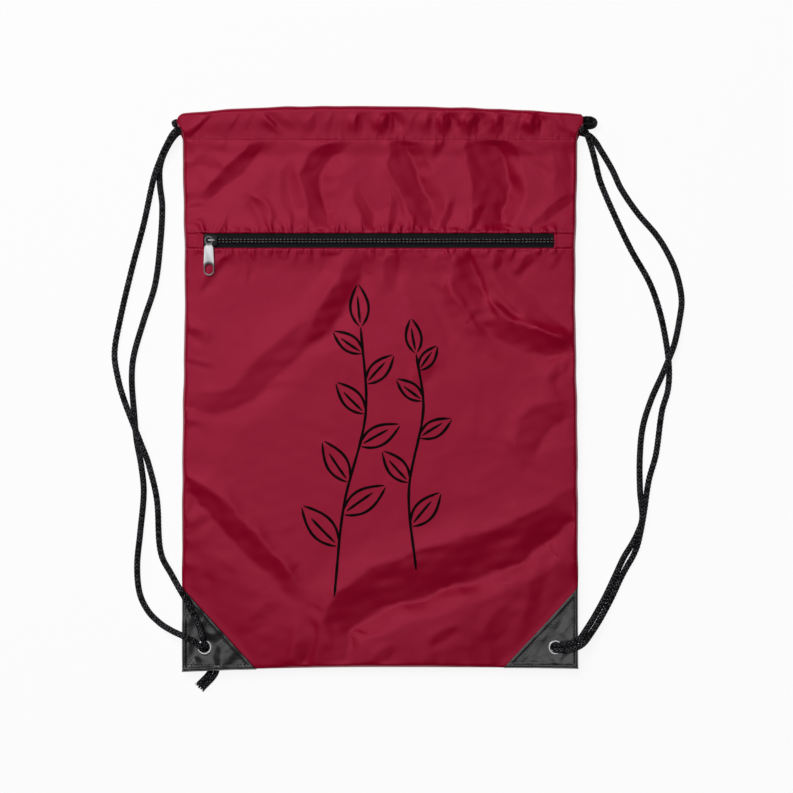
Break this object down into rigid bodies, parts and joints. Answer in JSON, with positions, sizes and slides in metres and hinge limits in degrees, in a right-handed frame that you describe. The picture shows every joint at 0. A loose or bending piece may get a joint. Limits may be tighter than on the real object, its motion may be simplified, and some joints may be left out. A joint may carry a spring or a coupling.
{
  "type": "drawstring backpack",
  "caption": "Flat cloth drawstring backpack with a zipped front pocket, leather corner patches with eyelets, and two cords that draw the mouth and serve as shoulder straps.",
  "frame": {"origin": "middle of the bag's footprint, on the surface that its back lies on, without the cords", "axes": "+X across the bag, +Y up to its mouth, +Z out of its front"},
  "size_m": [0.4798, 0.4841, 0.0262],
  "materials": {
    "front_cloth": "coated nylon cloth, soft sheen",
    "back_cloth": "coated nylon cloth, soft sheen",
    "lining_cloth": "thin woven nylon lining",
    "zipper_tape": "woven polyester tape",
    "zipper_coil": "nylon monofilament",
    "slider_enamel": "black enamel",
    "nickel": "bright nickel plate",
    "patch_leather": "smooth coated leather with a grey sheen",
    "cord": "braided polyester"
  },
  "bodies": {
    "bag": {"back_panel": "back_cloth", "yoke_panel": "front_cloth", "front_panel": "front_cloth", "pocket_lining": "lining_cloth", "front_hem": "front_cloth", "back_hem": "back_cloth", "zipper_end_left": "front_cloth", "zipper_end_right": "front_cloth", "zipper_tape_upper": "zipper_tape", "zipper_tape_lower": "zipper_tape", "zipper_coil_upper": "zipper_coil", "zipper_coil_lower": "zipper_coil", "front_patch_left": "patch_leather", "front_patch_right": "patch_leather", "back_patch_left": "patch_leather", "back_patch_right": "patch_leather", "eyelet_left": "nickel", "eyelet_right": "nickel", "eyelet_washer_left": "nickel", "eyelet_washer_right": "nickel", "cord_left": "cord", "cord_right": "cord", "knot_left": "cord", "knot_right": "cord"},
    "slider": {"zipper_slider": "slider_enamel", "slider_crown": "nickel"},
    "pull": {"zipper_pull": "nickel"}
  },
  "joints": [
    {"name": "zipper_slide", "type": "slide", "parent": "bag", "child": "slider", "axis": [1, 0, 0], "range_m": [0, 0.279], "deforming": ["zipper_coil_upper", "zipper_coil_lower"]},
    {"name": "pull_swing", "type": "hinge", "parent": "slider", "child": "pull", "pos_m": [-0.1421, 0.124, 0.0235], "axis": [0, 0, 1], "range_deg": [-200, 30]}
  ]
}
